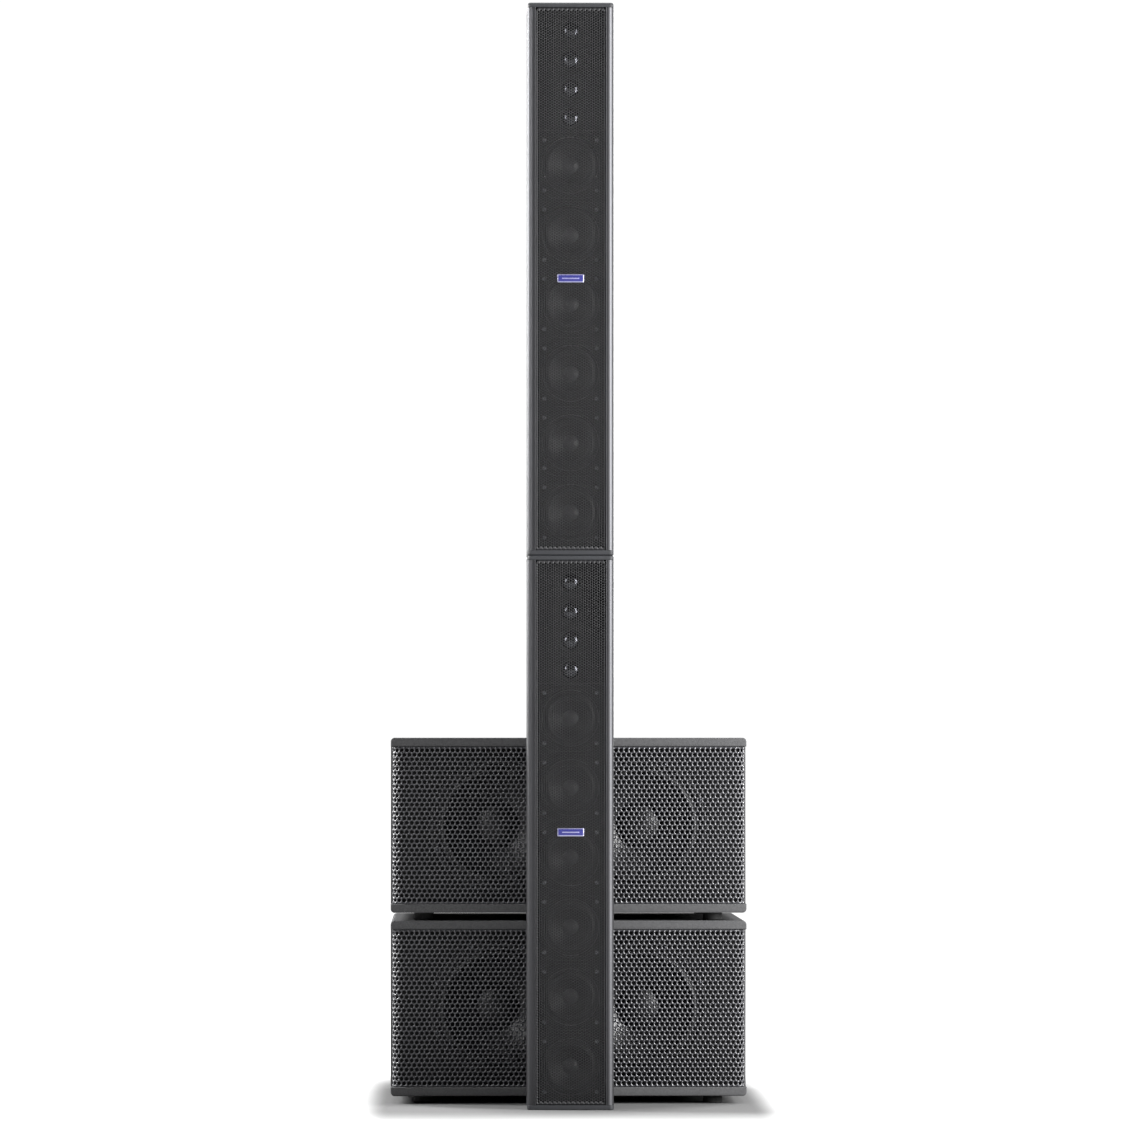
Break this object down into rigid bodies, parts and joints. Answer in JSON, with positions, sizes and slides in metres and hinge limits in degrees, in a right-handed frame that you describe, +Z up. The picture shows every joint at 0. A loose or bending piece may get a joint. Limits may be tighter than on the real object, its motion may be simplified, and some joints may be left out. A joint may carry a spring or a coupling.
{
  "type": "column pa system",
  "caption": "Slim column loudspeakers stacked one on the other, standing in front of stacked twin-woofer subwoofers with perforated steel grilles.",
  "frame": {"origin": "on the floor, in the middle of the system's width and depth", "axes": "+X to the right seen from the front, +Y towards the back, +Z up; the columns' grilles face -Y"},
  "size_m": [0.545, 0.65, 1.6703],
  "materials": {
    "black_extrusion": "black anodised extrusion, satin",
    "end_plate": "black powder coat, fine texture",
    "column_grille": "hexagon-perforated steel, satin black powder coat",
    "sub_grille": "round-hole perforated steel, satin black powder coat",
    "moulded_black": "moulded glass-filled plastic, fine texture",
    "cone": "coated paper cone with rubber roll surround, slightly glossy",
    "cast_basket": "die-cast frame, black paint",
    "black_textured_wood": "birch plywood in scratch-proof textured black paint",
    "panel": "black anodised panel with heatsink",
    "knob": "moulded knob, satin",
    "rocker": "polished moulded rocker",
    "rubber": "moulded rubber, matt",
    "black_steel": "steel plate, black powder coat",
    "bright_pin": "turned stainless steel"
  },
  "bodies": {
    "root": {"lower_column_cabinet": "black_extrusion", "lower_column_top_cap": "end_plate", "lower_column_bottom_cap": "end_plate", "lower_column_grille": "column_grille", "lower_column_baffle": "moulded_black", "lower_column_amp_panel": "panel", "upper_column_cabinet": "black_extrusion", "upper_column_top_cap": "end_plate", "upper_column_bottom_cap": "end_plate", "upper_column_grille": "column_grille", "upper_column_baffle": "moulded_black", "upper_column_amp_panel": "panel", "lower_sub_cabinet": "black_textured_wood", "lower_sub_grille": "sub_grille", "lower_sub_woofer_frame_left": "cast_basket", "lower_sub_woofer_frame_right": "cast_basket", "lower_sub_amp_panel": "panel", "lower_sub_foot_1": "rubber", "lower_sub_foot_2": "rubber", "lower_sub_foot_3": "rubber", "lower_sub_foot_4": "rubber", "lower_sub_handle_left": "moulded_black", "lower_sub_handle_right": "moulded_black", "upper_sub_cabinet": "black_textured_wood", "upper_sub_grille": "sub_grille", "upper_sub_woofer_frame_left": "cast_basket", "upper_sub_woofer_frame_right": "cast_basket", "upper_sub_amp_panel": "panel", "upper_sub_foot_1": "rubber", "upper_sub_foot_2": "rubber", "upper_sub_foot_3": "rubber", "upper_sub_foot_4": "rubber", "upper_sub_handle_left": "moulded_black", "upper_sub_handle_right": "moulded_black", "link_plate": "black_steel", "tie_bracket": "black_steel"},
    "lower_column_cone_1": {"lower_column_cone_1": "cone"},
    "lower_column_cone_2": {"lower_column_cone_2": "cone"},
    "lower_column_cone_3": {"lower_column_cone_3": "cone"},
    "lower_column_cone_4": {"lower_column_cone_4": "cone"},
    "lower_column_cone_5": {"lower_column_cone_5": "cone"},
    "lower_column_cone_6": {"lower_column_cone_6": "cone"},
    "lower_column_level_knob": {"lower_column_level_knob": "knob"},
    "upper_column_cone_1": {"upper_column_cone_1": "cone"},
    "upper_column_cone_2": {"upper_column_cone_2": "cone"},
    "upper_column_cone_3": {"upper_column_cone_3": "cone"},
    "upper_column_cone_4": {"upper_column_cone_4": "cone"},
    "upper_column_cone_5": {"upper_column_cone_5": "cone"},
    "upper_column_cone_6": {"upper_column_cone_6": "cone"},
    "upper_column_level_knob": {"upper_column_level_knob": "knob"},
    "lower_sub_cone_left": {"lower_sub_cone_left": "cone"},
    "lower_sub_cone_right": {"lower_sub_cone_right": "cone"},
    "lower_sub_level_knob": {"lower_sub_level_knob": "knob"},
    "lower_sub_power_switch": {"lower_sub_power_switch": "rocker"},
    "upper_sub_cone_left": {"upper_sub_cone_left": "cone"},
    "upper_sub_cone_right": {"upper_sub_cone_right": "cone"},
    "upper_sub_level_knob": {"upper_sub_level_knob": "knob"},
    "upper_sub_power_switch": {"upper_sub_power_switch": "rocker"},
    "link_pin_lower": {"link_pin_lower": "bright_pin"},
    "link_pin_upper": {"link_pin_upper": "bright_pin"}
  },
  "joints": [
    {"name": "lower_column_cone_1_stroke", "type": "slide", "parent": "root", "child": "lower_column_cone_1", "axis": [0, -1, 0], "range_m": [-0.003, 0.003], "stiffness_N_per_m": 2000},
    {"name": "lower_column_cone_2_stroke", "type": "slide", "parent": "root", "child": "lower_column_cone_2", "axis": [0, -1, 0], "range_m": [-0.003, 0.003], "stiffness_N_per_m": 2000},
    {"name": "lower_column_cone_3_stroke", "type": "slide", "parent": "root", "child": "lower_column_cone_3", "axis": [0, -1, 0], "range_m": [-0.003, 0.003], "stiffness_N_per_m": 2000},
    {"name": "lower_column_cone_4_stroke", "type": "slide", "parent": "root", "child": "lower_column_cone_4", "axis": [0, -1, 0], "range_m": [-0.003, 0.003], "stiffness_N_per_m": 2000},
    {"name": "lower_column_cone_5_stroke", "type": "slide", "parent": "root", "child": "lower_column_cone_5", "axis": [0, -1, 0], "range_m": [-0.003, 0.003], "stiffness_N_per_m": 2000},
    {"name": "lower_column_cone_6_stroke", "type": "slide", "parent": "root", "child": "lower_column_cone_6", "axis": [0, -1, 0], "range_m": [-0.003, 0.003], "stiffness_N_per_m": 2000},
    {"name": "lower_column_level_knob_turn", "type": "hinge", "parent": "root", "child": "lower_column_level_knob", "pos_m": [0, -0.1614, 0.746], "axis": [0, 1, 0], "range_deg": [-150, 150]},
    {"name": "upper_column_cone_1_stroke", "type": "slide", "parent": "root", "child": "upper_column_cone_1", "axis": [0, -1, 0], "range_m": [-0.003, 0.003], "stiffness_N_per_m": 2000},
    {"name": "upper_column_cone_2_stroke", "type": "slide", "parent": "root", "child": "upper_column_cone_2", "axis": [0, -1, 0], "range_m": [-0.003, 0.003], "stiffness_N_per_m": 2000},
    {"name": "upper_column_cone_3_stroke", "type": "slide", "parent": "root", "child": "upper_column_cone_3", "axis": [0, -1, 0], "range_m": [-0.003, 0.003], "stiffness_N_per_m": 2000},
    {"name": "upper_column_cone_4_stroke", "type": "slide", "parent": "root", "child": "upper_column_cone_4", "axis": [0, -1, 0], "range_m": [-0.003, 0.003], "stiffness_N_per_m": 2000},
    {"name": "upper_column_cone_5_stroke", "type": "slide", "parent": "root", "child": "upper_column_cone_5", "axis": [0, -1, 0], "range_m": [-0.003, 0.003], "stiffness_N_per_m": 2000},
    {"name": "upper_column_cone_6_stroke", "type": "slide", "parent": "root", "child": "upper_column_cone_6", "axis": [0, -1, 0], "range_m": [-0.003, 0.003], "stiffness_N_per_m": 2000},
    {"name": "upper_column_level_knob_turn", "type": "hinge", "parent": "root", "child": "upper_column_level_knob", "pos_m": [0, -0.1614, 1.5813], "axis": [0, 1, 0], "range_deg": [-150, 150]},
    {"name": "lower_sub_cone_left_stroke", "type": "slide", "parent": "root", "child": "lower_sub_cone_left", "axis": [0, -1, 0], "range_m": [-0.006, 0.006], "stiffness_N_per_m": 2400},
    {"name": "lower_sub_cone_right_stroke", "type": "slide", "parent": "root", "child": "lower_sub_cone_right", "axis": [0, -1, 0], "range_m": [-0.006, 0.006], "stiffness_N_per_m": 2400},
    {"name": "lower_sub_level_knob_turn", "type": "hinge", "parent": "root", "child": "lower_sub_level_knob", "pos_m": [0.04, 0.3096, 0.218], "axis": [0, 1, 0], "range_deg": [-150, 150]},
    {"name": "lower_sub_power_switch_rock", "type": "hinge", "parent": "root", "child": "lower_sub_power_switch", "pos_m": [0.104, 0.3083, 0.08], "axis": [1, 0, 0], "range_deg": [0, 12]},
    {"name": "upper_sub_cone_left_stroke", "type": "slide", "parent": "root", "child": "upper_sub_cone_left", "axis": [0, -1, 0], "range_m": [-0.006, 0.006], "stiffness_N_per_m": 2400},
    {"name": "upper_sub_cone_right_stroke", "type": "slide", "parent": "root", "child": "upper_sub_cone_right", "axis": [0, -1, 0], "range_m": [-0.006, 0.006], "stiffness_N_per_m": 2400},
    {"name": "upper_sub_level_knob_turn", "type": "hinge", "parent": "root", "child": "upper_sub_level_knob", "pos_m": [0.04, 0.3096, 0.498], "axis": [0, 1, 0], "range_deg": [-150, 150]},
    {"name": "upper_sub_power_switch_rock", "type": "hinge", "parent": "root", "child": "upper_sub_power_switch", "pos_m": [0.104, 0.3083, 0.36], "axis": [1, 0, 0], "range_deg": [0, 12]},
    {"name": "link_pin_lower_pull", "type": "slide", "parent": "root", "child": "link_pin_lower", "axis": [0, 1, 0], "range_m": [0, 0.035]},
    {"name": "link_pin_upper_pull", "type": "slide", "parent": "root", "child": "link_pin_upper", "axis": [0, 1, 0], "range_m": [0, 0.035]}
  ]
}
